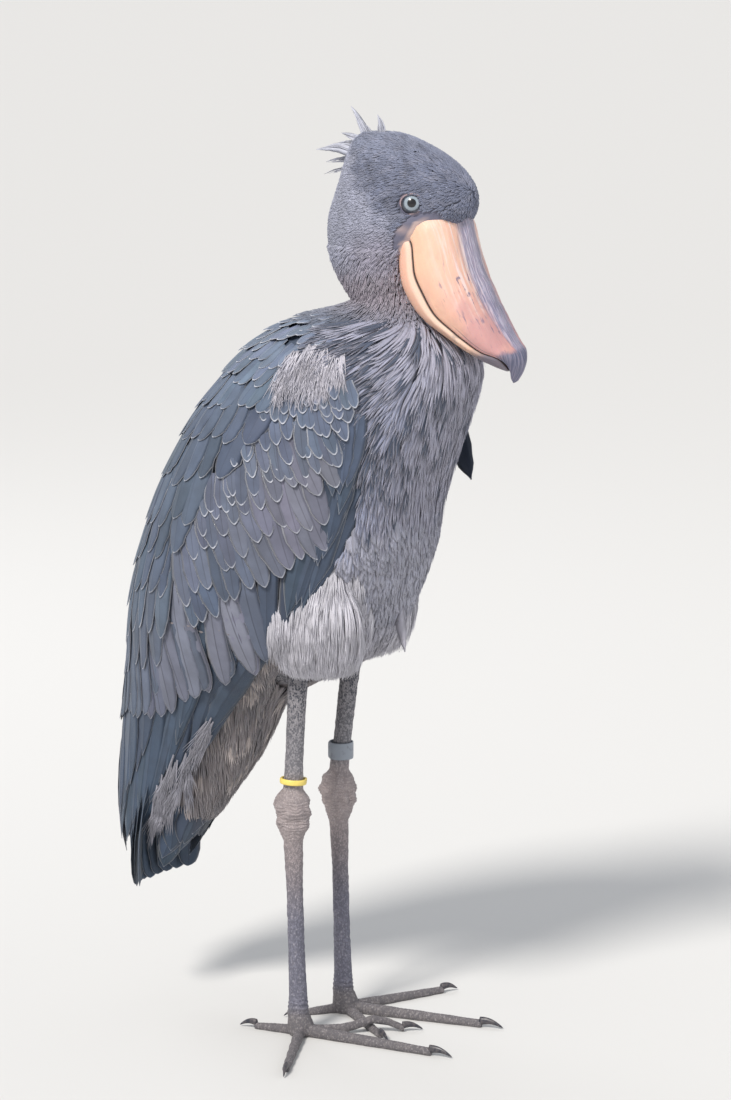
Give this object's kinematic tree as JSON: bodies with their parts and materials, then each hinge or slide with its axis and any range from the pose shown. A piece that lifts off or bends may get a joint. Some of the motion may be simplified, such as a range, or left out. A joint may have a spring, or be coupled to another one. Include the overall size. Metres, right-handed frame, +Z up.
{
  "type": "shoebill",
  "caption": "Standing shoebill with a hunched neck, a massive hooked bill, a small crest, folded wings and a ring on each leg, as a still life-size model.",
  "frame": {"origin": "bottom centre of the bounding box, on the floor at the level of the soles, between the legs and a little behind the ankles", "axes": "+Z up, the bill points to -Y and +X is the bird's left side"},
  "size_m": [0.373, 0.513, 1.0301],
  "materials": {
    "plumage": "short soft feathers, blue-grey on the crown, pale lilac-grey on the cheeks and nape",
    "breast": "lance-shaped slate plumes with pale lavender edges, softer and paler on the belly",
    "wing": "firm slate-blue feathers with thin pale edges",
    "tail": "firm dark slate feathers with thin pale edges",
    "thigh": "long white down",
    "crest": "loose pale grey plumes",
    "bill": "peach-pink horn with mauve-grey blotches and streaks, satin",
    "eye": "wet, pale blue-grey iris and black pupil",
    "leg": "dry grey skin of small scales, with dark scutes on the toes",
    "claw": "dark blue-black horn, worn",
    "ring_yellow": "amber-yellow plastic, a little worn",
    "band_grey": "plain grey, scuffed"
  },
  "bodies": {
    "root": {"ankle_left": "leg", "ankle_right": "leg", "band_grey": "band_grey", "bill_lower": "bill", "bill_upper": "bill", "claw_left_hind": "claw", "claw_left_inner": "claw", "claw_left_middle": "claw", "claw_left_outer": "claw", "claw_right_hind": "claw", "claw_right_inner": "claw", "claw_right_middle": "claw", "claw_right_outer": "claw", "crest": "crest", "eye_left": "eye", "eye_right": "eye", "foot_left": "leg", "foot_right": "leg", "head": "plumage", "neck": "plumage", "ring_yellow": "ring_yellow", "shin_left": "leg", "shin_right": "leg", "tail": "tail", "tarsus_left": "leg", "tarsus_right": "leg", "thigh_left": "thigh", "thigh_right": "thigh", "toe_left_hind": "leg", "toe_left_inner": "leg", "toe_left_middle": "leg", "toe_left_outer": "leg", "toe_right_hind": "leg", "toe_right_inner": "leg", "toe_right_middle": "leg", "toe_right_outer": "leg", "trunk": "breast", "wing_left": "wing", "wing_right": "wing"}
  },
  "joints": []
}
